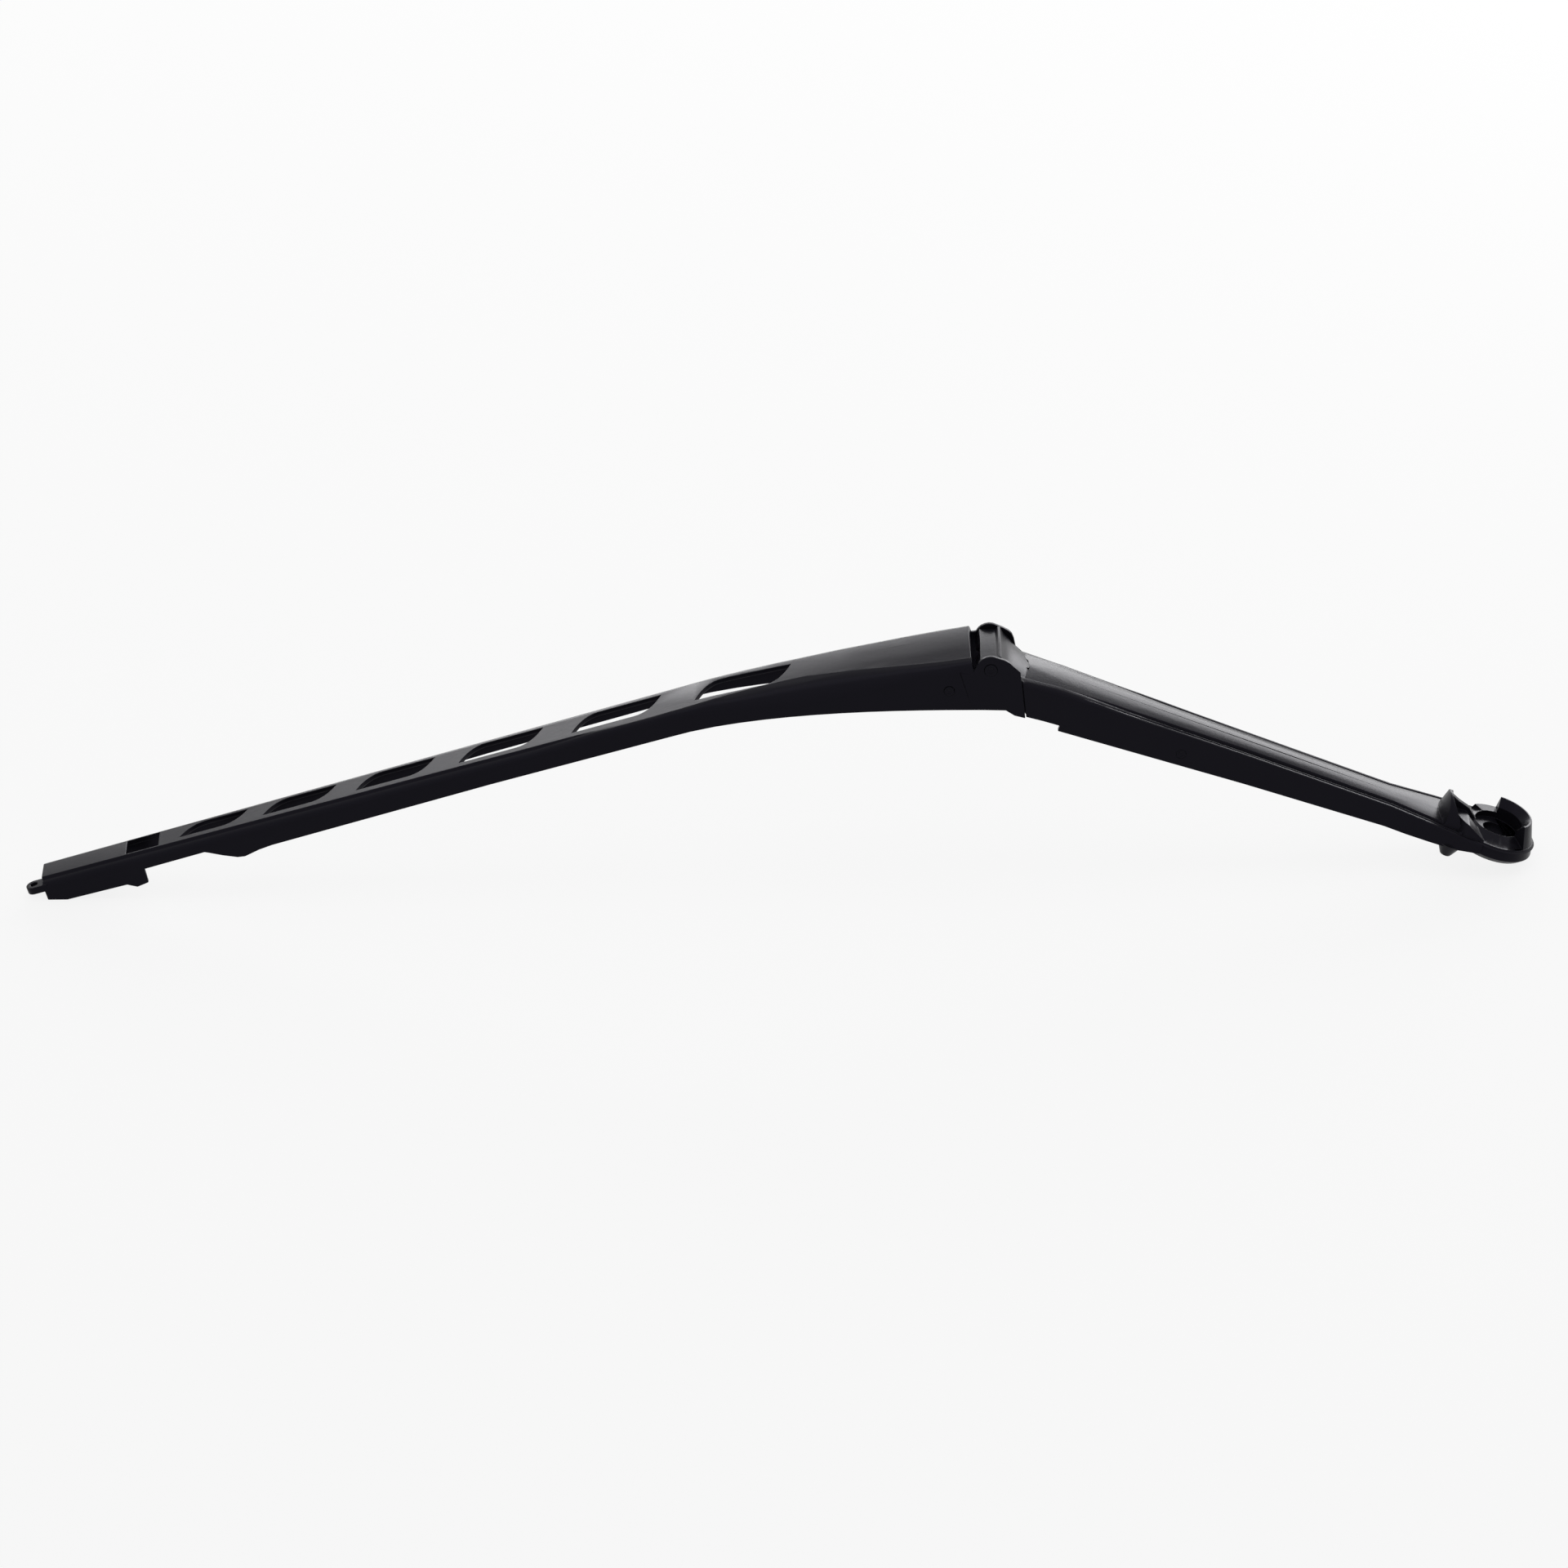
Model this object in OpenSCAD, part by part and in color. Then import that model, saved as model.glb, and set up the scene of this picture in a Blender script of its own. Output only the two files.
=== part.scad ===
// Windscreen wiper arm: a cast head that is clamped on the wiper's spindle, and a pressed
// sheet channel that folds on the hinge pin and is drawn down by a tension spring.
// All lengths are in millimetres. The origin is the centre of the spindle bore on the
// head's underside. The tip lies towards -X, the near side is -Y and +Z is up.
// Two local frames are used. Along the head, u runs from the spindle to the hinge and w
// rises from the base plane. Along the arm, a runs from the hinge to the tip and b rises
// square to the arm's straight top.

/* [Stance] */
// Tilt of the head's base plane above level
head_tilt = 20.1; // [16:0.1:24]
// Slope of the arm's straight top below level
arm_slope = 15.5; // [12:0.1:18]

/* [Head] */
// Distance from the spindle to the hinge along the base plane
head_len = 217.3; // [205:0.1:240]
// Height of the hinge axis above the base plane
hinge_h = 17.2; // [16.6:0.1:18]
// Height of the head's top at the shoulder
shoulder_h = 16.6; // [16:0.1:17.4]
// Height of the head's top where it meets the boss
root_h = 8.1; // [7.6:0.1:9.2]
// Width of the head's slender stretch
waist_w = 21.5; // [19.6:0.1:23.5]
// Width of the head just behind the shoulder
swell_w = 26.7; // [25:0.1:28]
// Width across the shoulder itself
shoulder_w = 30; // [28.5:0.1:30.6]
// Thickness of the head's side walls
head_wall = 2.2; // [1.8:0.1:2.8]
// Thickness of the head's roof
roof_t = 2; // [1.6:0.1:2.2]
// Fall of the crowned top from its middle to its edge ledge, next to the boss
crown_fall = 0.5; // [0.3:0.1:1]
// The same fall at the middle of the head and on towards the hinge
crown_mid = 0.9; // [0.5:0.1:1.5]
// Depth of the ledge along each top edge
ledge_fall = 0.7; // [0.4:0.1:1.2]
// Half width of each of the two beads on the ledge
bead_r = 1; // [0.7:0.05:1.1]
// Height of each of the two beads
bead_h = 0.6; // [0.4:0.05:0.8]

/* [Boss] */
// Radius of the boss at its base
boss_r = 17; // [16:0.1:18.5]
// Thickness of the boss under the nut's seat
seat_h = 7; // [6:0.1:8]
// Radius of the spindle bore
spindle_r = 5; // [4:0.1:5.6]
// Radius of the well that the spindle's nut sits in
well_r = 9.4; // [8.8:0.1:10]
// Height of the outer collar at the free end
end_collar_h = 15.5; // [13:0.1:16.5]
// Height of the collar on the hinge side
inner_collar_h = 16.9; // [15:0.1:18]

/* [Arm] */
// Distance from the hinge to the end of the arm's top plate
arm_len = 391; // [380:0.5:420]
// Thickness of the arm's sheet
sheet = 1.8; // [1.5:0.1:2]
// Height of the arm's straight top above the hinge axis
arm_rise = 16.2; // [14.5:0.1:17]
// Width over the ears at the hinge
ear_w = 30.9; // [30.3:0.1:32]
// Width of the arm where its taper begins
mid_w = 22.3; // [20:0.1:23]
// Width of the arm at its tip
tip_w = 16.3; // [15.2:0.1:17.5]
// Depth of the near wall at the middle of the arm
near_wall = 9.7; // [8.8:0.1:10.6]
// Depth of the far wall at the middle of the arm
far_wall = 5.6; // [4.6:0.1:6.4]
// Width of the ledge along the near top edge
arm_ledge_w = 3.4; // [2.6:0.1:4]
// Depth of the ledge along the near top edge
arm_ledge_fall = 1.2; // [0.6:0.1:1.6]

/* [Lightening holes] */
// Number of leaf-shaped holes
leaf_count = 6; // [3:1:6]
// Distance from the plate's end to the first hole
leaf_back = 58.4; // [56:0.1:66]
// Distance from the hinge to the last hole
leaf_end_a = 78.2; // [70:0.1:90]
// Length of the hole nearest the tip, before the holes are fitted to their run
leaf_len = 27.9; // [22:0.1:29]
// Growth in length from one hole to the next
leaf_grow = 2.2; // [1:0.1:2.4]
// Bridge between the first two holes
bridge_len = 7.2; // [6:0.1:9]
// Growth of the bridges from one to the next
bridge_grow = 1.8; // [1:0.1:2]
// Width of the hole nearest the tip
leaf_w = 8; // [6:0.1:8.4]
// Growth in width from one hole to the next
leaf_widen = 0.9; // [0.4:0.1:1]

/* [Hinge and pins] */
// Radius of the hinge pin
hinge_pin_r = 2.5; // [2.2:0.05:2.6]
// Depth of the knuckle below the hinge pin's axis
knuckle_drop = 5; // [4.7:0.1:5.4]
// Wall thickness of the hinge bushes
bush_wall = 0.9; // [0.7:0.05:1.1]
// Radial clearance of the turning pins
pin_gap = 0.05; // [0.02:0.01:0.1]
// Gap between the ears and the head's neck on each side
side_gap = 0.3; // [0.2:0.05:0.5]
// Radius of the two spring pins
spring_pin_r = 2; // [1.8:0.05:2.2]
// Distance of the arm's spring pin from the hinge along the arm
arm_pin_a = 18.3; // [17.5:0.1:19.5]
// Height of the arm's spring pin against the hinge axis
arm_pin_b = -4.1; // [-4.6:0.1:-3.6]
// Distance of the head's spring pin from the hinge along the base plane
pull_back = 84.5; // [82:0.1:88]
// Height of the head's spring pin above the base plane
head_pin_w = 4.2; // [3.9:0.1:4.6]

/* [Link and spring] */
// Thickness of the link's plate
link_t = 3.2; // [2.6:0.1:3.6]
// Height of the link's strip
link_h = 4.2; // [3.4:0.1:4.4]
// How far the link's bow dips below the line of pull
link_drop = 6.2; // [5.9:0.1:6.6]
// Distance from the arm's spring pin to the link's rear hole
link_len = 64.2; // [62:0.1:66]
// Thickness of the spring's wire
wire_d = 1.4; // [1.2:0.05:1.5]
// Mean radius of the spring's coils
coil_r = 2.8; // [2.7:0.05:2.9]
// Number of the spring's coils
coil_count = 12; // [8:1:12]
// Travel that the spring's rear eye leaves the head's pin
eye_travel = 7.3; // [7.3:0.1:8.5]

/* [Hidden] */
$fn = 64;

// A margin by which each cutting shape runs past the face that it cuts
over = 1;
// A length longer than any part of the section that a trim has to clear
far_out = 60;

// Colours
paint = [0.05, 0.05, 0.06];
plated = [0.55, 0.55, 0.57];

// The angle between the head and the arm at rest, and where things lie across it
kink = head_tilt + arm_slope;
hinge_x = -head_len * cos(head_tilt) + hinge_h * sin(head_tilt);
hinge_z = head_len * sin(head_tilt) + hinge_h * cos(head_tilt);

// Ears and neck
ear_in = ear_w / 2 - sheet;
neck_half = ear_in - side_gap;
slot_gap = 1.6;
slot_half = link_t / 2 + slot_gap;
bush_r = hinge_pin_r + pin_gap + bush_wall;
bridge_t = 2;
stop_gap = 0.4;
face_lean = 3;
face_up = 5;
face_down = 12;

// The ear's outline behind the hinge, as a and b against the hinge axis
ear_bump_r = 5.8;
bump_from = 40;
bump_to = 136;
bump_steps = 6;
ear_back = [[-4.2, 4], [-6.4, 2.5], [-8, 0.8], [-9.5, -1.9], [-10.9, -4.4]];
far_back = [[-4.2, 4], [-6.3, 2.2], [-8, 0.4], [-8.9, -1.4], [-9.1, -3.6]];
ear_heel = [[-7, -24.5], [-3.2, -22.1], [-0.6, -18.9]];
ear_front_a = 12;
pin_proud = 0.3;

// The arm's root, where the top plate begins, and the curve down to it
plate_a = 6.4;
crown_a = 115;
crown_dip = 9;
crown_power = 1.4;
waist_a = 158;

// The near corner's radius grows where the near side is blended, then shrinks again. The
// bends have bend_r inside the sheet, at their tightest and at the root. The pressed skirt
// reaches down to skirt_b until skirt_a, before the walls are trimmed
bend_r = [0.6, 2.2];
corner_min = sheet + bend_r[0];
corner_root = sheet + bend_r[1];
corner_max = 8.8;
corner_peak_a = 72;
corner_spread_a = 62;
camber_root = 2.6;
camber_power = 3;
camber_end_a = 140;
skirt_a = 40;
skirt_b = -32;
ledge_from_a = 150;
ledge_full_a = 190;
groove_slant = 0.7;
arc_steps = 4;
fine_step = 6.5;
floor_step = 10;

// The lower edge of the near wall between the ears and the straight stretch
curve_a = 122;
ear_floor_b = -16.1;
ear_floor_a = 8;
floor_power = 1.55;

// The lower edge towards the tip, as distances from the plate's end and depths
wall_flare_a = arm_len - 186;
tip_edge = [[-2, 4], [-2, 8.4], [7.5, 11.1], [32.6, 11.5], [36.3, 13.6], [41.2, 12.9],
    [41.6, 6.7], [67, 6.3], [68.5, 7], [73.5, 9.7], [79, 12.2], [82, 12.7], [88.5, 11.4],
    [94, 10.9]];
far_flare_a = arm_len - 129;
far_flare_depth = 6.6;
far_join_a = arm_len - 103;
far_join_depth = 8.1;

// The latch window near the tip
window_from = 35.6;
window_to = 49.2;
window_rim = 2.3;
leaf_lead = 11;
leaf_pull = 0.4;
bow_steps = 8;

// The tongue at the very end of the near side
tongue_len = 7.2;
tongue_r = 3.3;
tongue_hole_r = 1.5;
tongue_h = 3;
tongue_drop = 3.6;

// The head's body
body_u0 = 6;
body_mid_u = 0.48 * head_len;
flare_u = 45;
swell_u = head_len - 31.3;
shoulder_fall = 0.1;
shoulder_u = head_len - 11.3;
cavity_u = 27;
cavity_edge = 1.4;
step_u = head_len - 34.4;
step_h = 1.5;
wall_drop = 0.9;
bead_from_u = head_len - 27.3;
bead_full_u = 0.64 * head_len;
bead_lead = 12;
edge_round = 2.4;
bead_steps = 4;
bead_zone = 4 * bead_r;
bead_gap = 0.35;
crown_start = bead_zone + bead_gap;
neck_tail_u = head_len - 21.3;
neck_floor = 5.2;
crest = [[head_len - 14.9, 17.4], [head_len - 10, 19.1]];
crest_fall = [2.4, 1.5];

// The knuckle's top against the hinge axis, from the neck's foot over the ridge to the flat
// in front, and its underside at the same places
knuckle_top = [[-7.2, 2.7], [-4.4, 4.2], [-2.2, 6.2], [-1.5, 6], [-0.7, 4.6], [5.1, 2.6]];
knuckle_foot = [-8.5, -6.2, -knuckle_drop, -knuckle_drop, -knuckle_drop, -2.4];
knuckle_fall = 0.3;
way_over = 0.8;

// The shares of the neck's half width where its crown begins to fall and has half fallen
neck_crown = [0.3, 0.7];
head_pin_u = head_len - pull_back;

// The boss, its collars and the lug under it
end_collar_from = 92;
end_collar_to = 225;
inner_collar_near = -50;
inner_collar_far = 14;
inner_collar_r = 22.6;
inner_collar_foot = 26.4;
inner_collar_in = 19.4;
shelf_half = 68;
shelf_h = 11.5;
shelf_in = 14;
shelf_out = 19.9;
shelf_y = [-14.2, 5.5];
ramp_u = [5.4, 13.2];
ramp_pace = (ramp_u[1] - ramp_u[0]) / (shelf_h - seat_h);
rib_half = 1.3;
rib_line = [[9.4, 9.4], [13.2, 13], [18, 14.7]];
rim_h = 9.6;
rim_to = 92;
end_top_r = 12.6;
end_top_in = 9;
end_rim = 0.8;
end_chamfer_h = 11.6;
well_rise = 2;
rim_lean = 2.6;
draft = 0.9;
roof_arc_r = 11;
rim_from = 53;
base_edge = 2.2;
lug_u = 17.6;
lug_y = -10.4;
lug_r = 5.4;
lug_tip_r = 2.2;
lug_drop = 4.8;

// Link and spring
ring_r = 4.2;
link_peak = 0.564;
link_steps = 28;
link_pace = 1.5;
eyelet_r = 2.4;
eyelet_hole = 1.2;
hook_seat = 0.32;
wire_r = wire_d / 2;
wire_sides = 8;
coil_steps = 14;
coil_gap = 0.06;
coil_pitch = wire_d + coil_gap;
eye_clear = 0.75;
eye_half = spring_pin_r + eye_clear + wire_r;
turn_steps = 10;
quarter_steps = 3;

// A smooth step from 0 to 1, and a blend between two values
function ease(t) = let (c = min(1, max(0, t))) c * c * (3 - 2 * c);
function mix(p, q, t) = p + (q - p) * t;

// Places in the arm's frame, given in the head's frame at rest
function on_head(p) = [head_len + p[0] * cos(kink) + p[1] * sin(kink),
    hinge_h - p[0] * sin(kink) + p[1] * cos(kink)];

// The two local frames
module head_frame() rotate([0, head_tilt, 0]) mirror([1, 0, 0]) children();
module arm_frame() translate([hinge_x, 0, hinge_z]) rotate([0, -arm_slope, 0])
    mirror([1, 0, 0]) children();

// A side outline, given along and up, with its thickness from y0 to y1
module slab(outline, y0, y1)
    translate([0, y1, 0]) rotate([90, 0, 0]) linear_extrude(y1 - y0) polygon(outline);

// A round bar or bore across the arm at a place along and up
module cross_bar(p, r, y0, y1)
    translate([p[0], y1, p[1]]) rotate([90, 0, 0]) cylinder(r = r, h = y1 - y0);

// A flat cap over a loop whose points lie in facing pairs, the first with the last
function cap(base, n) = [for (j = [0 : floor((n - 1) / 2) - 1])
    j + 1 == n - 2 - j ? [base + j, base + j + 1, base + n - 1 - j]
        : [base + j, base + j + 1, base + n - 2 - j, base + n - 1 - j]];
function turned(face) = [for (k = [len(face) - 1 : -1 : 0]) face[k]];

// A solid through a list of rings, each a closed loop of equally many points that turns
// by the right-hand rule about the way the rings follow each other
module skin(rings) {
    n = len(rings[0]);
    last = len(rings) - 1;
    points = [for (ring = rings) for (p = ring) p];
    sides = [for (i = [0 : last - 1]) for (j = [0 : n - 1])
        let (k = (j + 1) % n)
        [i * n + j, (i + 1) * n + j, (i + 1) * n + k, i * n + k]];
    last_cap = [for (face = cap(last * n, n)) turned(face)];
    polyhedron(points, concat(cap(0, n), sides, last_cap), convexity = 10);
}

// The arm's outer width, its top line and its corner radius at a distance from the hinge
function arm_w(a) = a < waist_a
    ? mix(ear_w, mid_w, ease((a - plate_a) / (waist_a - plate_a)))
    : mix(mid_w, tip_w, (a - waist_a) / (arm_len - waist_a));
function arm_top(a) = arm_rise
    - crown_dip * pow(max(0, (crown_a - a) / (crown_a - plate_a)), crown_power);
function corner(a) = a < corner_peak_a
    ? mix(corner_root, corner_max, ease((a - plate_a) / (corner_peak_a - plate_a)))
    : mix(corner_max, corner_min, ease((a - corner_peak_a) / corner_spread_a));
function camber(a) = camber_root * (1 - ease((a - plate_a) / (camber_end_a - plate_a)));
function ledge(a) = arm_ledge_fall
    * ease((a - ledge_from_a) / (ledge_full_a - ledge_from_a));

// The sheet's surface across the arm, inset by d from the outside
function plate(a, y) = arm_top(a) - camber(a) * pow(0.5 - y / arm_w(a), camber_power);
function arc(cy, cb, r, from, to) = [for (i = [0 : arc_steps])
    let (t = mix(from, to, i / arc_steps)) [cy + r * cos(t), cb + r * sin(t)]];
function sheet_line(a, d, floor_b) =
    let (half = arm_w(a) / 2, r = corner(a), gy = -half + max(arm_ledge_w, r + over),
        far_y = half - corner_min, near_y = r - half, near_b = plate(a, near_y) - ledge(a),
        shift = d * groove_slant / sheet / 2)
    concat([[half - d, floor_b]],
        arc(far_y, plate(a, far_y) - corner_min, corner_min - d, 0, 90),
        [[far_y / 2, plate(a, far_y / 2) - d], [0, plate(a, 0) - d],
            [gy / 2, plate(a, gy / 2) - d]],
        [[gy + shift, plate(a, gy) - d],
            [gy - groove_slant + shift, plate(a, gy) - ledge(a) - d]],
        arc(near_y, near_b - r, r - d, 90, 180),
        [[-half + d, floor_b]]);
function section(a) =
    let (floor_b = mix(skirt_b, 0, ease((a - skirt_a) / (crown_a - skirt_a))),
        outer = sheet_line(a, 0, floor_b), inner = sheet_line(a, sheet, floor_b))
    [for (p = concat(outer, [for (i = [len(inner) - 1 : -1 : 0]) inner[i]]))
        [a, p[0], p[1]]];

// Stations along the arm: close where it curves, wide apart where it is straight
stations = concat([for (a = [plate_a : fine_step : waist_a - fine_step]) a],
    [for (a = [waist_a : fine_step : ledge_full_a]) a],
    [(ledge_full_a + arm_len) / 2, arm_len]);

// The lower edge of a wall as a run of places, tip first
function curve_floor(a, level) = mix(level, ear_floor_b,
    pow(max(0, (curve_a - a) / (curve_a - ear_floor_a)), floor_power));
function tip_floor() = [for (p = tip_edge) [arm_len - p[0], arm_rise - p[1]]];
function root_floor(depth) = [for (a = [curve_a : -floor_step : ear_floor_a])
    [a, curve_floor(a, arm_rise - depth)]];
function near_floor() = concat(tip_floor(), [[wall_flare_a, arm_rise - near_wall]],
    root_floor(near_wall));
function far_floor() = concat(tip_floor(),
    [[far_join_a, arm_rise - far_join_depth], [far_flare_a, arm_rise - far_flare_depth],
        [wall_flare_a, arm_rise - far_wall]],
    root_floor(far_wall));

// What lies below a wall's lower edge
module below(edge, y0, y1) {
    first = edge[0];
    last = edge[len(edge) - 1];
    slab(concat([[first[0] + far_out, first[1]]], edge,
        [[last[0] - far_out, last[1]], [last[0] - far_out, -far_out],
            [first[0] + far_out, -far_out]]), y0, y1);
}

// One ear, from y0 across its sheet, with the depth of its front below the plate's top and
// its back outline
module ear(front_b, back, y0) {
    front = [[ear_front_a, curve_floor(ear_front_a, arm_rise - near_wall)],
        [ear_front_a, arm_top(ear_front_a) - corner(ear_front_a) - over],
        [plate_a + over, arm_top(plate_a) - front_b]];
    slab(concat([[ear_floor_a, ear_floor_b]], front, bump(), back, ear_heel),
        y0, y0 + sheet);
}
function bump() = [for (i = [0 : bump_steps]) let (t = mix(bump_from, bump_to, i / bump_steps))
    [ear_bump_r * cos(t), ear_bump_r * sin(t)]];

// A leaf-shaped hole's outline seen from above: its points lie at opposite corners
function bow(p, q, r) = [for (i = [0 : bow_steps]) let (t = i / bow_steps)
    mix(mix(p, q, t), mix(q, r, t), t)];
module leaf(a0, length, width) {
    h = width / 2;
    a1 = a0 - length;
    pull = leaf_pull * leaf_lead;
    tip_bow = bow([a0, -h], [a0 - pull, h], [a0 - leaf_lead, h]);
    root_bow = bow([a1, h], [a1 + pull, -h], [a1 + leaf_lead, -h]);
    translate([0, arm_ledge_w / 2, arm_rise - arm_ledge_fall - sheet - over])
        linear_extrude(arm_ledge_fall + sheet + 2 * over)
            polygon(concat(tip_bow, root_bow));
}
function grown(first, step, n) = n * first + step * n * (n - 1) / 2;
leaf_fit = (arm_len - leaf_back - leaf_end_a) / (grown(leaf_len, leaf_grow, leaf_count)
    + grown(bridge_len, bridge_grow, leaf_count - 1));
function leaf_a(i) = arm_len - leaf_back
    - leaf_fit * (grown(leaf_len, leaf_grow, i) + grown(bridge_len, bridge_grow, i));
module leaves()
    for (i = [0 : leaf_count - 1])
        leaf(leaf_a(i), leaf_fit * (leaf_len + i * leaf_grow), leaf_w + i * leaf_widen);

module window() {
    half = tip_w / 2;
    translate([arm_len - window_to, -half + arm_ledge_w + over / 2, arm_rise - sheet - over])
        cube([window_to - window_from, 2 * half - arm_ledge_w - window_rim,
            sheet + 2 * over]);
}

// The small tongue with its hollow, at the tip's near side
module tongue() {
    y0 = -tip_w / 2;
    end_a = arm_len + tongue_len - tongue_r;
    top_b = arm_rise - tongue_drop + tongue_h / 2;
    difference() {
        union() {
            translate([arm_len - sheet, y0, top_b - tongue_h])
                cube([end_a - arm_len + sheet, 2 * tongue_r, tongue_h]);
            translate([end_a, y0 + tongue_r, top_b - tongue_h])
                cylinder(r = tongue_r, h = tongue_h);
        }
        translate([end_a, y0 + tongue_r, top_b - tongue_h / 2])
            cylinder(r = tongue_hole_r, h = tongue_h);
    }
}

// The pressed channel with its ears, holes, window, cheeks and tongue
module arm_channel() color(paint) arm_frame() {
    difference() {
        union() {
            difference() {
                skin([for (a = stations) section(a)]);
                below(near_floor(), -far_out, 0);
                below(far_floor(), 0, far_out);
                leaves();
                window();
            }
            ear(corner_min + over / 2, far_back, ear_in);
            ear(corner_root + camber_root, ear_back, -ear_w / 2);
            tongue();
        }
        cross_bar([0, 0], hinge_pin_r, -far_out, far_out);
        cross_bar([arm_pin_a, arm_pin_b], spring_pin_r, -far_out, far_out);
    }
}

// The head's outer width and its top line
function head_w(u) = u < flare_u
    ? mix(waist_w, 2 * boss_r - over, (flare_u - u) / (flare_u - body_u0))
    : mix(waist_w, swell_w, min(1, max(0, (u - body_mid_u) / (swell_u - body_mid_u))))
        + (shoulder_w - swell_w) * ease((u - swell_u) / (shoulder_u - swell_u));
function crown(u) = mix(crown_fall, crown_mid, ease((u - boss_r) / (body_mid_u - boss_r)));
function head_top(u) = mix(root_h, shoulder_h, min(1, (u - boss_r) / (swell_u - boss_r)))
    - shoulder_fall * ease((u - swell_u) / (shoulder_u - swell_u)) + crown(u) - crown_fall;
function bead_share(u) = ease((bead_from_u - u) / (bead_from_u - bead_full_u))
    * ease((u - body_u0) / (head_stations[1] - body_u0));

// The top edge at a distance d in from the side: a plain round, or a ledge with two beads
function plain_edge(d) = edge_round * (sqrt(1 - pow(1 - d / crown_start, 2)) - 1);
function bead_edge(d) = -ledge_fall - bead_h
    + (d > bead_zone ? bead_h + ledge_fall
        : bead_h * sqrt(max(0, 1 - pow(d % (2 * bead_r) / bead_r - 1, 2))));
function edge_drop(u, d) = mix(plain_edge(d), bead_edge(d), bead_share(u));
edge_steps = concat([for (i = [0 : 1]) for (j = [0 : bead_steps - 1])
    bead_r * (2 * i + 1 - cos(180 * j / bead_steps))], [bead_zone]);
crown_steps = [1, 0.72, 0.4, 0];

function half_top(u) =
    let (half = head_w(u) / 2, inner = half - crown_start)
    concat([for (d = edge_steps)
            [half - d, head_top(u) - crown(u) + edge_drop(u, d)]],
        [for (s = crown_steps)
            [inner * s, head_top(u) - crown(u) * s * s]]);
function head_foot(u) = base_edge * (1 - ease((u - body_u0) / (boss_r - body_u0)))
    - wall_drop * ease((u - boss_r) / boss_r);
function head_ring(u) =
    let (top = half_top(u), n = len(top), foot = head_foot(u))
    [for (p = concat([[head_w(u) / 2, foot]], top, [for (i = [n - 2 : -1 : 0])
        [-top[i][0], top[i][1]]], [[-head_w(u) / 2, foot]])) [u, p[0], p[1]]];

// The hollow under the roof
function cavity_ring(u) =
    let (half = head_w(u) / 2 - head_wall, top = head_top(u) - roof_t,
        edge = top - crown(u), foot = -wall_drop - over, run = half - cavity_edge,
        mid = top - crown(u) / 4)
    [for (p = [[half, foot], [half, edge - cavity_edge], [run, edge], [half / 2, mid],
            [-half / 2, mid], [-run, edge], [-half, edge - cavity_edge], [-half, foot]])
        [u, p[0], p[1]]];

head_stations = concat([body_u0, boss_r - over, cavity_u, (cavity_u + flare_u) / 2, flare_u],
    [for (t = [0.25 : 0.25 : 1]) mix(flare_u, body_mid_u, t)],
    [for (t = [0.2 : 0.2 : 1]) mix(body_mid_u, bead_full_u + bead_lead, t)],
    [for (t = [0.25 : 0.25 : 1]) mix(bead_full_u + bead_lead, swell_u, t)],
    [bead_from_u, neck_tail_u, (neck_tail_u + shoulder_u) / 2, shoulder_u]);
cavity_stations = [for (u = head_stations) if (u >= cavity_u) u];

// The face of the shoulder that the ears' backs come up against
function shoulder_face() =
    let (top = on_head(ear_back[4]), foot = on_head(ear_heel[0]))
    [[top[0] - stop_gap + face_lean, top[1] + face_up], [top[0] - stop_gap, top[1]],
        [foot[0] - stop_gap, foot[1]], [foot[0] - stop_gap - face_lean, foot[1] - face_down]];
module past_shoulder() {
    face = shoulder_face();
    slab(concat(face, [[head_len + far_out, face[3][1]], [head_len + far_out, face[0][1]]]),
        -far_out, far_out);
}

// The neck between the ears, with the knuckle round the hinge pin. Each ring of the neck
// has its floor, its top and the fall of its crown
neck_rings = concat([[neck_tail_u, step_h, head_top(neck_tail_u) - edge_round, crest_fall[0]],
    [crest[0][0], neck_floor, crest[0][1], crest_fall[0]],
    [crest[1][0], neck_floor + over, crest[1][1], crest_fall[1]]],
    [for (i = [0 : len(knuckle_top) - 1]) [head_len + knuckle_top[i][0],
        hinge_h + knuckle_foot[i], hinge_h + knuckle_top[i][1], knuckle_fall]]);
function neck_ring(r) =
    let (flat = neck_crown[0], fall = neck_crown[1])
    [for (p = [[1, r[1]], [1, r[2] - r[3]], [fall, r[2] - r[3] / 2], [flat, r[2]],
            [-flat, r[2]], [-fall, r[2] - r[3] / 2], [-1, r[2] - r[3]], [-1, r[1]]])
        [r[0], p[0] * neck_half, p[1]]];
module neck() skin([for (r = neck_rings) neck_ring(r)]);

// The way that the link takes through the neck, under a thin bridge
module link_way() {
    under = hinge_h + way_over;
    slab([[step_u, -far_out], [head_len + far_out, -far_out], [head_len + far_out, under],
        [head_len, under], [crest[1][0], crest[1][1] - bridge_t],
        [crest[0][0], crest[0][1] - bridge_t], [step_u, head_top(step_u) - roof_t]],
        -slot_half, slot_half);
}

// A ring sector round the spindle, turned from a profile of radius and height
module sector(from, to, profile)
    rotate([0, 0, from]) rotate_extrude(angle = to - from) polygon(profile);

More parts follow.
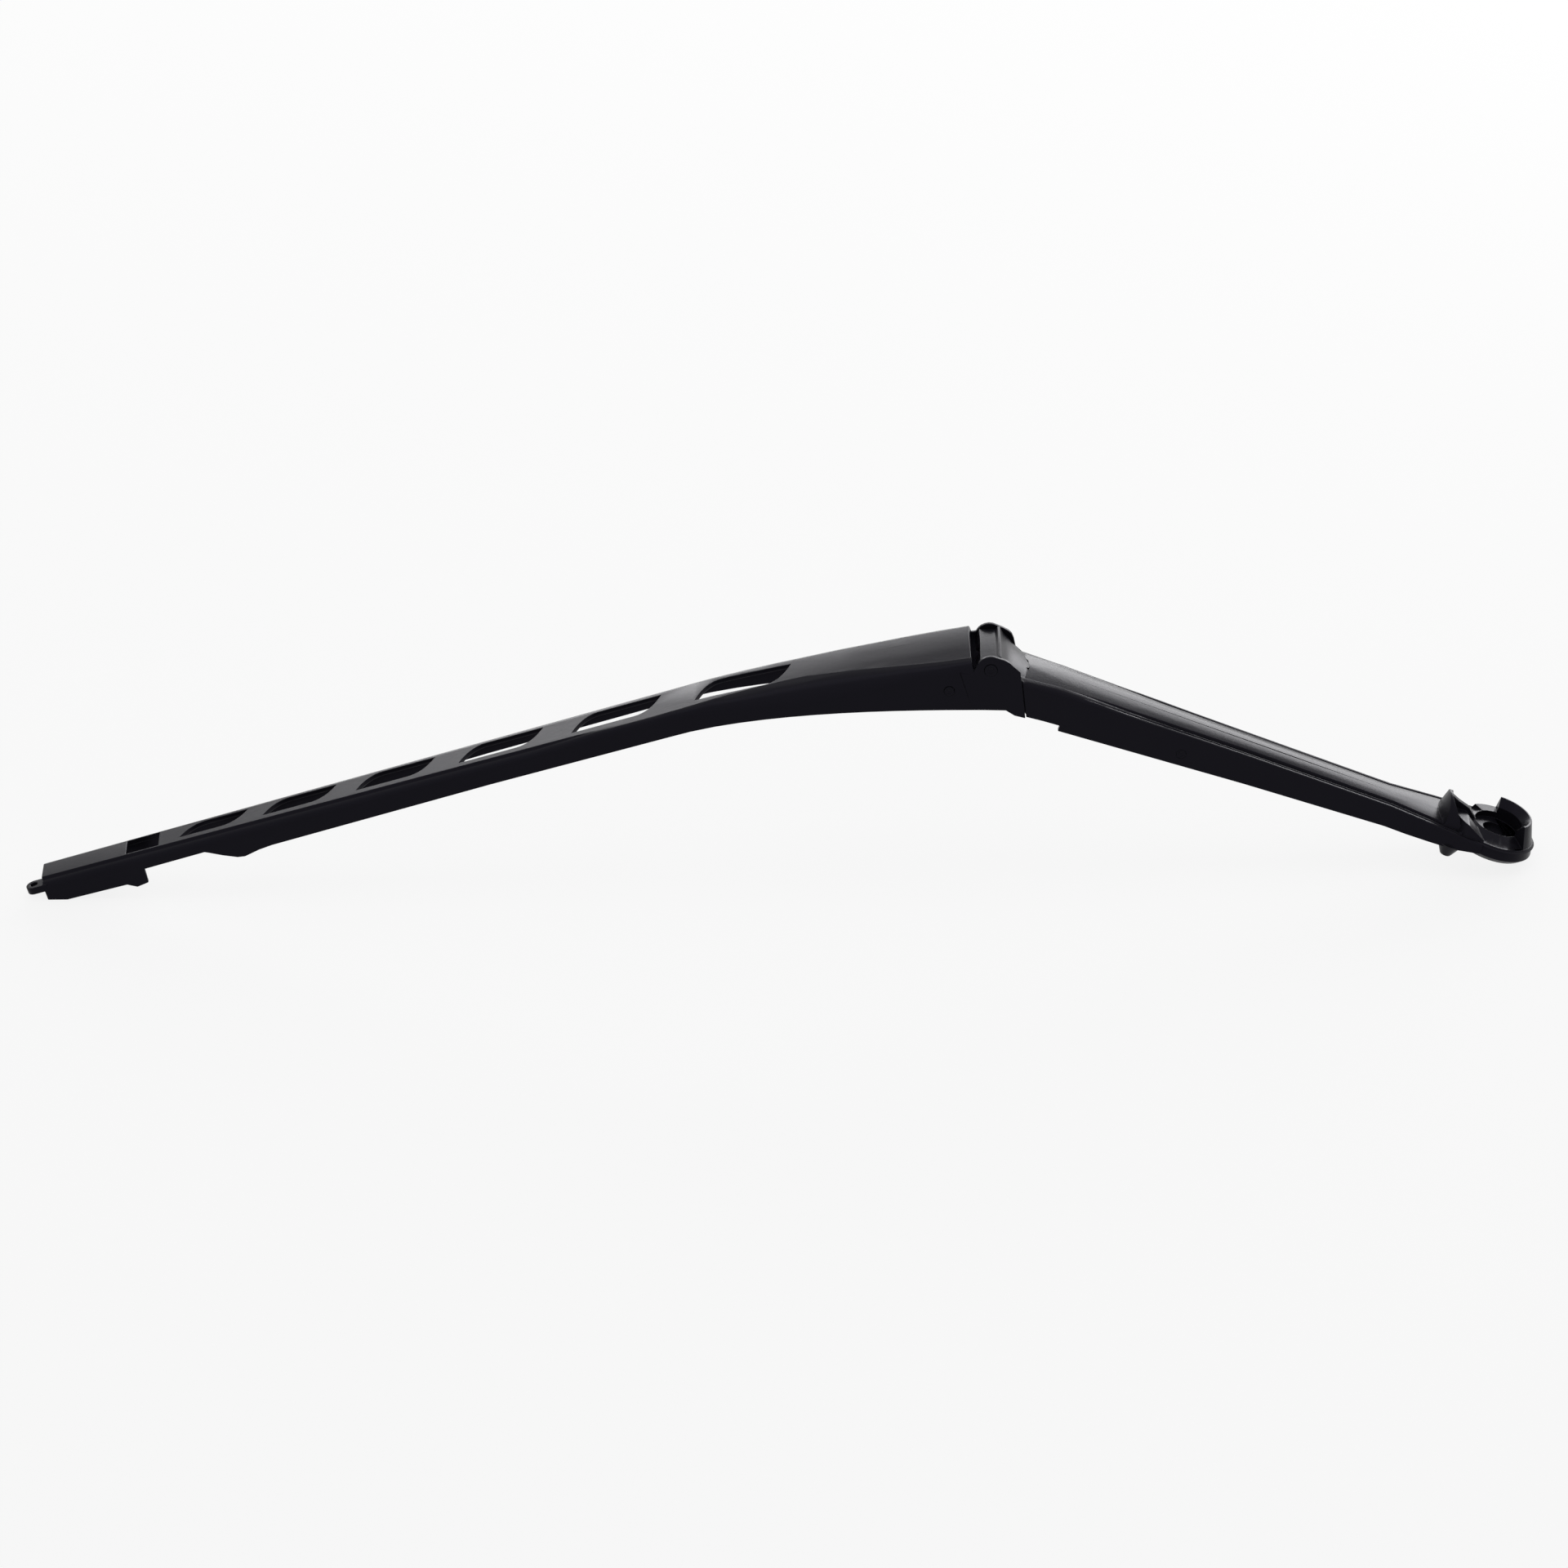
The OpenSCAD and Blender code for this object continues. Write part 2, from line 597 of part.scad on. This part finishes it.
// The boss with its nut well and collars
module boss() {
    cylinder(r1 = boss_r - base_edge, r2 = boss_r, h = base_edge);
    translate([0, 0, base_edge])
        cylinder(r1 = boss_r, r2 = boss_r - draft, h = seat_h - base_edge);
    translate([0, 0, seat_h - over])
        cylinder(r1 = boss_r - draft + over, r2 = well_r - over, h = well_rise + 2 * over);
    sector(end_collar_from, end_collar_to, [[end_top_in, seat_h - over],
        [boss_r - draft, seat_h - over], [end_top_r, end_collar_h],
        [end_top_r - end_rim, end_collar_h], [end_top_in, end_chamfer_h]]);
    sector(rim_from, rim_to + over, [[end_top_in, seat_h - over],
        [boss_r - draft, seat_h - over], [boss_r - rim_lean, rim_h], [end_top_in, rim_h]]);
    intersection() {
        sector(inner_collar_near, inner_collar_far, [[inner_collar_in, base_edge],
            [inner_collar_foot, base_edge], [inner_collar_r, inner_collar_h],
            [inner_collar_r - over, inner_collar_h], [inner_collar_in, shelf_h - over]]);
        translate([0, 0, inner_collar_h - roof_arc_r]) rotate([0, 90, 0])
            cylinder(r = roof_arc_r, h = inner_collar_foot + over);
    }
    intersection() {
        sector(-shelf_half, shelf_half, [[end_top_in, seat_h - over],
            [shelf_out, seat_h - over], [shelf_out - draft, shelf_h], [shelf_in, shelf_h],
            [end_top_in, seat_h]]);
        slab([[ramp_u[0], 0], [ramp_u[0], seat_h],
            [ramp_u[1] + over * ramp_pace, shelf_h + over], [far_out, shelf_h + over],
            [far_out, 0]], shelf_y[0], shelf_y[1]);
    }
    slab(concat([[end_top_in, seat_h - over]], rib_line,
        [[inner_collar_r - over, inner_collar_h - over / 2],
            [inner_collar_r - over, seat_h - over]]), -rib_half, rib_half);
    translate([lug_u, lug_y, -lug_drop])
        cylinder(r1 = lug_tip_r, r2 = lug_r, h = lug_drop + over);
}

// The cast head: a U-shaped body, its neck and knuckle, and the boss
module head_casting() color(paint) head_frame() difference() {
    union() {
        difference() {
            skin([for (u = head_stations) head_ring(u)]);
            skin([for (u = cavity_stations) cavity_ring(u)]);
            past_shoulder();
            translate([step_u, -far_out, -wall_drop - over])
                cube([far_out, 2 * far_out, step_h + wall_drop + over]);
        }
        neck();
        boss();
    }
    link_way();
    translate([0, 0, -over]) cylinder(r = spindle_r, h = seat_h + 2 * over);
    translate([0, 0, seat_h]) cylinder(r = well_r, h = far_out);
    cross_bar([head_len, hinge_h], bush_r, -far_out, far_out);
    cross_bar([head_pin_u, head_pin_w], spring_pin_r, -far_out, far_out);
}

// The hinge pin, whose ends stand a little proud of both ears
module hinge_pin() color(paint) arm_frame()
    cross_bar([0, 0], hinge_pin_r, -ear_w / 2 - pin_proud, ear_w / 2 + pin_proud);

// One of the two hinge bushes, pressed into the neck
module bush(y0, y1) color(plated) head_frame() difference() {
    cross_bar([head_len, hinge_h], bush_r, y0, y1);
    cross_bar([head_len, hinge_h], hinge_pin_r + pin_gap, y0 - over, y1 + over);
}
module hinge_bush_near() bush(-neck_half, -slot_half);
module hinge_bush_far() bush(slot_half, neck_half);

// The pin that the link pulls on, across the arm
module arm_spring_pin() color(paint) arm_frame()
    cross_bar([arm_pin_a, arm_pin_b], spring_pin_r, -arm_w(arm_pin_a) / 2 - pin_proud,
        arm_w(arm_pin_a) / 2 + pin_proud);

// The pin that holds the spring's rear eye, across the head
module head_spring_pin() color(paint) head_frame()
    cross_bar([head_pin_u, head_pin_w], spring_pin_r, -head_w(head_pin_u) / 2,
        head_w(head_pin_u) / 2);

// The line of pull, from the arm's spring pin to the head's spring pin
pull_from = on_head([arm_pin_a, arm_pin_b]);
pull_run = [pull_from[0] - head_pin_u, pull_from[1] - head_pin_w];
pull_len = norm(pull_run);
pull_angle = atan2(pull_run[1], pull_run[0]);

// Along the line of pull, s runs from the arm's pin to the head's pin and n rises
module pull_frame() head_frame() translate([pull_from[0], 0, pull_from[1]])
    rotate([0, -pull_angle, 0]) mirror([1, 0, 0]) children();

// The link's middle line bows down round the hinge
function link_n(s) = -link_drop * sin(180 * pow(s / link_len, link_peak));

module spring_link() color(plated) pull_frame() difference() {
    half = link_h / 2;
    runs = [for (i = [0 : link_steps]) link_len * pow(i / link_steps, link_pace)];
    union() {
        slab(concat([for (s = runs) [s, link_n(s) + half]],
            [for (i = [link_steps : -1 : 0]) [runs[i], link_n(runs[i]) - half]]),
            -link_t / 2, link_t / 2);
        cross_bar([0, 0], ring_r, -link_t / 2, link_t / 2);
        cross_bar([link_len, 0], eyelet_r, -link_t / 2, link_t / 2);
    }
    cross_bar([0, 0], spring_pin_r + pin_gap, -far_out, far_out);
    cross_bar([link_len, 0], eyelet_hole, -far_out, far_out);
}

// The spring's wire, as places along the line of pull: the front hook passes through the
// link's eyelet, and the rear eye runs round the head's pin with room for its travel
hook_s = link_len + coil_r - hook_seat;
coil_len = coil_count * coil_pitch;
eye_front = pull_len - spring_pin_r - eye_clear;
coil_end = eye_front - wire_d;
coil_begin = coil_end - coil_len;
eye_rear = pull_len + eye_travel + eye_half;

function front_hook() = concat([[hook_s + coil_r, -coil_r, 0]],
    [for (i = [0 : turn_steps]) let (t = 270 - 180 * i / turn_steps)
        [hook_s + coil_r * cos(t), coil_r * sin(t), 0]]);
function coil() = [for (i = [0 : coil_count * coil_steps])
    let (t = 90 + 360 * i / coil_steps)
    [coil_begin + coil_len * i / (coil_count * coil_steps), coil_r * sin(t),
        coil_r * cos(t)]];
function quarter_turn() = [for (i = [1 : quarter_steps]) let (t = i / quarter_steps)
    [coil_end + wire_d * t, coil_r * cos(90 * t), -mix(coil_r, eye_half, t) * sin(90 * t)]];
function rear_eye() = [for (i = [0 : turn_steps]) let (t = 90 - 180 * i / turn_steps)
    [eye_rear - eye_half + eye_half * cos(t), 0, -eye_half * sin(t)]];
wire_path = concat(front_hook(), coil(), quarter_turn(), rear_eye(),
    [[pull_len, 0, eye_half]]);

// A ring of the wire at each place, square to the run of the wire. Its first point is
// carried on from ring to ring, so that the wire isn't twisted
function heading(i) =
    let (a = wire_path[max(0, i - 1)], b = wire_path[min(len(wire_path) - 1, i + 1)])
    (b - a) / norm(b - a);
function carried(e, i) =
    let (d = heading(min(i, len(wire_path) - 1)), c = e - (e * d) * d) c / norm(c);
ring_starts = [for (i = 0, e = carried([0, 0, 1], 0); i < len(wire_path);
    i = i + 1, e = carried(e, i)) e];
function wire_ring(i) =
    let (e = ring_starts[i], f = cross(heading(i), e))
    [for (j = [0 : wire_sides - 1]) let (t = 360 * j / wire_sides)
        wire_path[i] + wire_r * (cos(t) * e + sin(t) * f)];

module tension_spring() color(plated) pull_frame()
    skin([for (i = [0 : len(wire_path) - 1]) wire_ring(i)]);

arm_channel();
head_casting();
hinge_pin();
hinge_bush_near();
hinge_bush_far();
arm_spring_pin();
head_spring_pin();
spring_link();
tension_spring();
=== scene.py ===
import math
import bpy
from mathutils import Matrix, Vector


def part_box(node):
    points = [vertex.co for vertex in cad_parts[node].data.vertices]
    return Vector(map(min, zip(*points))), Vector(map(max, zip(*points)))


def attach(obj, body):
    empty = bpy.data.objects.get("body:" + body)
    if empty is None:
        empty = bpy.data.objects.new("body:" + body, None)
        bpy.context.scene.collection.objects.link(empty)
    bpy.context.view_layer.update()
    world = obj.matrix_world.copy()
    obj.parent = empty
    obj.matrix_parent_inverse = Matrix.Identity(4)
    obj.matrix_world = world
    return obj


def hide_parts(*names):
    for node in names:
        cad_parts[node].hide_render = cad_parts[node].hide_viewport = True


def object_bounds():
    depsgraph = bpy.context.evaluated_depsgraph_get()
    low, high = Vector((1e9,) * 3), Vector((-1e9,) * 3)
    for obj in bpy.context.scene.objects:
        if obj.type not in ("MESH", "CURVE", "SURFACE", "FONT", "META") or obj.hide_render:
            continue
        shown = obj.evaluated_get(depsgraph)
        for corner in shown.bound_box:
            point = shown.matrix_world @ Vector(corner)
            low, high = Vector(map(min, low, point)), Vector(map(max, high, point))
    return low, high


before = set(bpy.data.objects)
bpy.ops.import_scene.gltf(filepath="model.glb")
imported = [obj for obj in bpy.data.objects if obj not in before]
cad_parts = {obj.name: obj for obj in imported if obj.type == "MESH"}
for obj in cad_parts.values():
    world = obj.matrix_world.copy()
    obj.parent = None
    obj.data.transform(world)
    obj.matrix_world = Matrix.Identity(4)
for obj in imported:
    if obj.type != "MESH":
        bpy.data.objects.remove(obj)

CAD_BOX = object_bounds()
MM = 0.001

# The camera of the photograph, in its own level frame, and the small roll of the arm in it
CAMERA_ELEVATION = 28.0
CAMERA_DISTANCE = 3.5
CAMERA_AIM = Vector((-0.2819, 0.0, 0.0269))
CAMERA_REACH = 50.0
FRAME_WIDTH = 0.625
FILM_WIDTH = 36.0
ARM_ROLL = 1.46

# The studio: how bright the pale surroundings look, and how much light they give
BACKDROP_SHOWN = 0.94
FLOOR_GLOW = 0.84
FLOOR_GREY = 0.14
WORLD_LIGHT = 0.45
FLOOR_SIZE = 12.0
FLOOR_MIDDLE = -0.28

# The softboxes: where each one stands, where it points, its size in metres and its power
SOFTBOXES = (
    ("back_softbox", (0.15, 2.2, 0.60), (-0.25, 0.0, 0.05), (2.7, 0.8), 42.0),
    ("top_softbox", (-0.3, -0.1, 2.2), (-0.3, 0.0, 0.0), (2.0, 1.2), 5.0),
    ("boss_softbox", (0.62, 0.9, 0.36), (0.0, 0.0, 0.02), (0.42, 0.34), 1.5),
)

# The pieces' edges, in millimetres: faces that meet at more than EDGE_ANGLE get a soft edge
WELD = 0.08
FLAT_ANGLE = 0.6
EDGE_ANGLE = 32.0
SMOOTH_ANGLE = 38.0
SHEET_EDGE = 0.3
CAST_EDGE = 0.2
LINK_EDGE = 0.3
PIN_EDGE = 0.2
BUSH_EDGE = 0.15
WIRE_EDGE = 0.05

# The staking marks in the pins' ends: their radii, and their depth as a share of the radius
HINGE_PIN_MARK = 1.3
SPRING_PIN_MARK = 1.0
MARK_DEPTH = 0.45
MARK_SIDES = 32

# The finishes: the paint's cool sheen and patches, and the plating's drawn lines and patches
PAINT_SHEEN = (0.78, 0.75, 1.0, 1.0)
PAINT_SPECULAR = 0.10
PEEL_DETAIL = 2.0
GRAIN_DETAIL = 1.0
MOTTLE_SCALE = 38.0
MOTTLE_DETAIL = 4.0
LINES_SCALE = 900.0
LINES_DETAIL = 3.0
LINES_DEPTH = 0.03
PATCH_SCALE = 160.0
PATCH_DETAIL = 2.0
ALONG_PIECE = (0.12, 1.0, 1.0)
ALL_ROUND = (1.0, 1.0, 1.0)


def make_camera():
    data = bpy.data.cameras.new("photo_camera")
    data.type = "PERSP"
    data.sensor_width = FILM_WIDTH
    data.lens = FILM_WIDTH * CAMERA_DISTANCE / FRAME_WIDTH
    data.clip_end = CAMERA_REACH
    camera = bpy.data.objects.new("photo_camera", data)
    bpy.context.scene.collection.objects.link(camera)
    look = Matrix.Rotation(math.radians(90.0 - CAMERA_ELEVATION), 4, "X")
    back = look.to_3x3() @ Vector((0.0, 0.0, CAMERA_DISTANCE))
    level = Matrix.Translation(CAMERA_AIM + back) @ look
    camera.matrix_world = Matrix.Rotation(math.radians(ARM_ROLL), 4, "Y") @ level
    bpy.context.scene.camera = camera


def seen_share(nodes, links):
    """One for rays that look at the surroundings: from the camera, a gloss or a glass."""
    path = nodes.new("ShaderNodeLightPath")
    share = path.outputs["Is Camera Ray"]
    for ray in ("Is Glossy Ray", "Is Transmission Ray"):
        larger = nodes.new("ShaderNodeMath")
        larger.operation = "MAXIMUM"
        links.new(share, larger.inputs[0])
        links.new(path.outputs[ray], larger.inputs[1])
        share = larger.outputs[0]
    return share


def make_floor():
    """A pale floor that glows to the eye and still takes the arm's shadow."""
    bpy.ops.mesh.primitive_plane_add(size=FLOOR_SIZE,
                                     location=(FLOOR_MIDDLE, 0.0, CAD_BOX[0][2]))
    floor = bpy.context.active_object
    floor.name = "studio_floor"
    mat = bpy.data.materials.new("studio_floor")
    mat.use_nodes = True
    nodes, links = mat.node_tree.nodes, mat.node_tree.links
    nodes.clear()
    out = nodes.new("ShaderNodeOutputMaterial")
    add = nodes.new("ShaderNodeAddShader")
    diffuse = nodes.new("ShaderNodeBsdfDiffuse")
    diffuse.inputs["Color"].default_value = (FLOOR_GREY, FLOOR_GREY, FLOOR_GREY, 1.0)
    glow = nodes.new("ShaderNodeEmission")
    gain = nodes.new("ShaderNodeMath")
    gain.operation = "MULTIPLY"
    gain.inputs[1].default_value = FLOOR_GLOW
    links.new(seen_share(nodes, links), gain.inputs[0])
    links.new(gain.outputs[0], glow.inputs["Strength"])
    links.new(diffuse.outputs[0], add.inputs[0])
    links.new(glow.outputs[0], add.inputs[1])
    links.new(add.outputs[0], out.inputs["Surface"])
    floor.data.materials.append(mat)


def make_world():
    """Bright where the eye or a gloss looks at it, and dimmer as a source of light."""
    world = bpy.data.worlds.new("studio")
    bpy.context.scene.world = world
    world.use_nodes = True
    nodes, links = world.node_tree.nodes, world.node_tree.links
    back = nodes["Background"]
    back.inputs["Color"].default_value = (1.0, 1.0, 1.0, 1.0)
    shown = nodes.new("ShaderNodeMix")
    shown.data_type = "FLOAT"
    shown.inputs["A"].default_value = WORLD_LIGHT
    shown.inputs["B"].default_value = BACKDROP_SHOWN
    links.new(seen_share(nodes, links), shown.inputs["Factor"])
    links.new(shown.outputs["Result"], back.inputs["Strength"])


def make_lamp(name, place, aim, size, power):
    data = bpy.data.lights.new(name, "AREA")
    data.shape = "RECTANGLE"
    data.size, data.size_y = size
    data.energy = power
    lamp = bpy.data.objects.new(name, data)
    bpy.context.scene.collection.objects.link(lamp)
    lamp.location = place
    lamp.rotation_euler = (Vector(aim) - Vector(place)).to_track_quat("-Z", "Y").to_euler()


def add_noise(nodes, links, place, detail):
    """A noise that reads the given place, with its scale still to be set."""
    noise = nodes.new("ShaderNodeTexNoise")
    noise.inputs["Detail"].default_value = detail
    links.new(place, noise.inputs["Vector"])
    return noise


def add_tint(nodes, links, share, low, high):
    """A colour between two others, by a share that changes over the surface."""
    tint = nodes.new("ShaderNodeMix")
    tint.data_type = "RGBA"
    tint.inputs["A"].default_value = (*low, 1.0)
    tint.inputs["B"].default_value = (*high, 1.0)
    links.new(share, tint.inputs["Factor"])
    return tint.outputs["Result"]


def add_relief(nodes, links, height, depth):
    """A surface relief of the given depth in millimetres."""
    bump = nodes.new("ShaderNodeBump")
    bump.inputs["Distance"].default_value = depth * MM
    links.new(height, bump.inputs["Height"])
    return bump.outputs["Normal"]


def paint_skin_group():
    """The skin of sprayed powder paint: a soft orange peel with a fine grain on it."""
    tree = bpy.data.node_groups.new("paint_skin", "ShaderNodeTree")
    for side, labels in (("INPUT", ("Peel Scale", "Grain Scale", "Grain Share",
                                    "Low Roughness", "High Roughness")),
                         ("OUTPUT", ("Height", "Roughness", "Mottle"))):
        for label in labels:
            tree.interface.new_socket(label, in_out=side, socket_type="NodeSocketFloat")
    nodes, links = tree.nodes, tree.links
    given, made = nodes.new("NodeGroupInput"), nodes.new("NodeGroupOutput")
    place = nodes.new("ShaderNodeTexCoord").outputs["Object"]
    peel = add_noise(nodes, links, place, PEEL_DETAIL)
    grain = add_noise(nodes, links, place, GRAIN_DETAIL)
    mottle = add_noise(nodes, links, place, MOTTLE_DETAIL)
    mottle.inputs["Scale"].default_value = MOTTLE_SCALE
    links.new(given.outputs["Peel Scale"], peel.inputs["Scale"])
    links.new(given.outputs["Grain Scale"], grain.inputs["Scale"])
    height = nodes.new("ShaderNodeMix")
    rough = nodes.new("ShaderNodeMix")
    for mix, share, low, high in (
            (height, given.outputs["Grain Share"], peel.outputs["Fac"], grain.outputs["Fac"]),
            (rough, mottle.outputs["Fac"], given.outputs["Low Roughness"],
             given.outputs["High Roughness"])):
        mix.data_type = "FLOAT"
        links.new(share, mix.inputs["Factor"])
        links.new(low, mix.inputs["A"])
        links.new(high, mix.inputs["B"])
    links.new(height.outputs["Result"], made.inputs["Height"])
    links.new(rough.outputs["Result"], made.inputs["Roughness"])
    links.new(mottle.outputs["Fac"], made.inputs["Mottle"])
    return tree


def painted(name, skin_group, dark, light, peel, grain, share, rough, depth):
    """Satin black paint over sheet or cast metal."""
    mat = bpy.data.materials.new(name)
    mat.use_nodes = True
    nodes, links = mat.node_tree.nodes, mat.node_tree.links
    shader = nodes["Principled BSDF"]
    shader.inputs["Specular IOR Level"].default_value = PAINT_SPECULAR
    shader.inputs["Specular Tint"].default_value = PAINT_SHEEN
    skin = nodes.new("ShaderNodeGroup")
    skin.node_tree = skin_group
    for label, value in (("Peel Scale", peel), ("Grain Scale", grain), ("Grain Share", share),
                         ("Low Roughness", rough[0]), ("High Roughness", rough[1])):
        skin.inputs[label].default_value = value
    links.new(add_tint(nodes, links, skin.outputs["Mottle"], dark, light),
              shader.inputs["Base Color"])
    links.new(skin.outputs["Roughness"], shader.inputs["Roughness"])
    links.new(add_relief(nodes, links, skin.outputs["Height"], depth),
              shader.inputs["Normal"])
    return mat


def plated(name, dull, bright, stretch, rough):
    """Zinc plated steel: fine drawing lines along the piece and a patchy sheen."""
    mat = bpy.data.materials.new(name)
    mat.use_nodes = True
    nodes, links = mat.node_tree.nodes, mat.node_tree.links
    shader = nodes["Principled BSDF"]
    shader.inputs["Metallic"].default_value = 1.0
    place = nodes.new("ShaderNodeTexCoord").outputs["Object"]
    drawn = nodes.new("ShaderNodeMapping")
    drawn.inputs["Scale"].default_value = stretch
    links.new(place, drawn.inputs["Vector"])
    lines = add_noise(nodes, links, drawn.outputs["Vector"], LINES_DETAIL)
    lines.inputs["Scale"].default_value = LINES_SCALE
    patch = add_noise(nodes, links, place, PATCH_DETAIL)
    patch.inputs["Scale"].default_value = PATCH_SCALE
    sheen = nodes.new("ShaderNodeMapRange")
    sheen.inputs["To Min"].default_value = rough[0]
    sheen.inputs["To Max"].default_value = rough[1]
    links.new(lines.outputs["Fac"], sheen.inputs["Value"])
    links.new(add_tint(nodes, links, patch.outputs["Fac"], dull, bright),
              shader.inputs["Base Color"])
    links.new(sheen.outputs["Result"], shader.inputs["Roughness"])
    links.new(add_relief(nodes, links, lines.outputs["Fac"], LINES_DEPTH),
              shader.inputs["Normal"])
    return mat


def apply_all(piece):
    bpy.ops.object.select_all(action="DESELECT")
    piece.select_set(True)
    bpy.context.view_layer.objects.active = piece
    for modifier in list(piece.modifiers):
        bpy.ops.object.modifier_apply(modifier=modifier.name)


def punch_ends(pin, node, radius):
    """The staking mark in each end of a pin: a shallow round dimple."""
    low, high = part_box(node)
    for end in (low[1], high[1]):
        place = ((low[0] + high[0]) / 2, end, (low[2] + high[2]) / 2)
        bpy.ops.object.select_all(action="DESELECT")
        bpy.ops.mesh.primitive_uv_sphere_add(segments=MARK_SIDES, ring_count=MARK_SIDES // 2,
                                             radius=radius * MM, location=place)
        punch = bpy.context.active_object
        punch.scale = (1.0, MARK_DEPTH, 1.0)
        cut = pin.modifiers.new("dimple", "BOOLEAN")
        cut.operation = "DIFFERENCE"
        cut.solver = "EXACT"
        cut.object = punch
        apply_all(pin)
        bpy.data.objects.remove(punch, do_unlink=True)


def finished_copy(node, name, body, material, edge, steps=2, mark=0.0):
    """The node's own shape with its edges softened and its curves smooth."""
    piece = bpy.data.objects.new(name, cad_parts[node].data.copy())
    bpy.context.scene.collection.objects.link(piece)
    piece.data.materials.clear()
    piece.data.materials.append(material)
    weld = piece.modifiers.new("joined_faces", "WELD")
    weld.merge_threshold = WELD * MM
    flat = piece.modifiers.new("flat_faces", "DECIMATE")
    flat.decimate_type = "DISSOLVE"
    flat.angle_limit = math.radians(FLAT_ANGLE)
    apply_all(piece)
    if mark:
        punch_ends(piece, node, mark)
    soften = piece.modifiers.new("soft_edges", "BEVEL")
    soften.width = edge * MM
    soften.segments = steps
    soften.limit_method = "ANGLE"
    soften.angle_limit = math.radians(EDGE_ANGLE)
    soften.use_clamp_overlap = False
    apply_all(piece)
    bpy.ops.object.shade_smooth_by_angle(angle=math.radians(SMOOTH_ANGLE))
    weigh = piece.modifiers.new("even_shading", "WEIGHTED_NORMAL")
    weigh.keep_sharp = True
    apply_all(piece)
    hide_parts(node)
    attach(piece, body)


make_camera()
make_floor()
make_world()
for name, place, aim, size, power in SOFTBOXES:
    make_lamp(name, place, aim, size, power)

paint_skin = paint_skin_group()
sheet_paint = painted("sheet_paint", paint_skin, dark=(0.0050, 0.0047, 0.0066),
                      light=(0.0075, 0.0070, 0.0100), peel=520.0, grain=3000.0, share=0.35,
                      rough=(0.25, 0.33), depth=0.03)
cast_paint = painted("cast_paint", paint_skin, dark=(0.0052, 0.0048, 0.0068),
                     light=(0.0080, 0.0075, 0.0104), peel=340.0, grain=1900.0, share=0.45,
                     rough=(0.25, 0.34), depth=0.05)
plated_steel = plated("plated_steel", dull=(0.42, 0.42, 0.44), bright=(0.60, 0.60, 0.61),
                      stretch=ALONG_PIECE, rough=(0.26, 0.46))
spring_wire = plated("spring_wire", dull=(0.30, 0.30, 0.32), bright=(0.50, 0.50, 0.52),
                     stretch=ALL_ROUND, rough=(0.24, 0.38))

finished_copy("arm_channel", "pressed_channel", "arm", sheet_paint, SHEET_EDGE)
finished_copy("head_casting", "cast_head", "head", cast_paint, CAST_EDGE)
for name, body, mark in (("hinge_pin", "arm", HINGE_PIN_MARK),
                         ("arm_spring_pin", "arm", SPRING_PIN_MARK),
                         ("head_spring_pin", "head", SPRING_PIN_MARK)):
    finished_copy(name, name + "_finished", body, sheet_paint, PIN_EDGE,
                  mark=mark)
for name in ("hinge_bush_near", "hinge_bush_far"):
    finished_copy(name, name + "_finished", "head", plated_steel, BUSH_EDGE)
finished_copy("spring_link", "link_finished", "link", plated_steel, LINK_EDGE)
finished_copy("tension_spring", "spring_finished", "link", spring_wire,
              WIRE_EDGE, steps=1)

bpy.context.scene.view_settings.view_transform = "Standard"
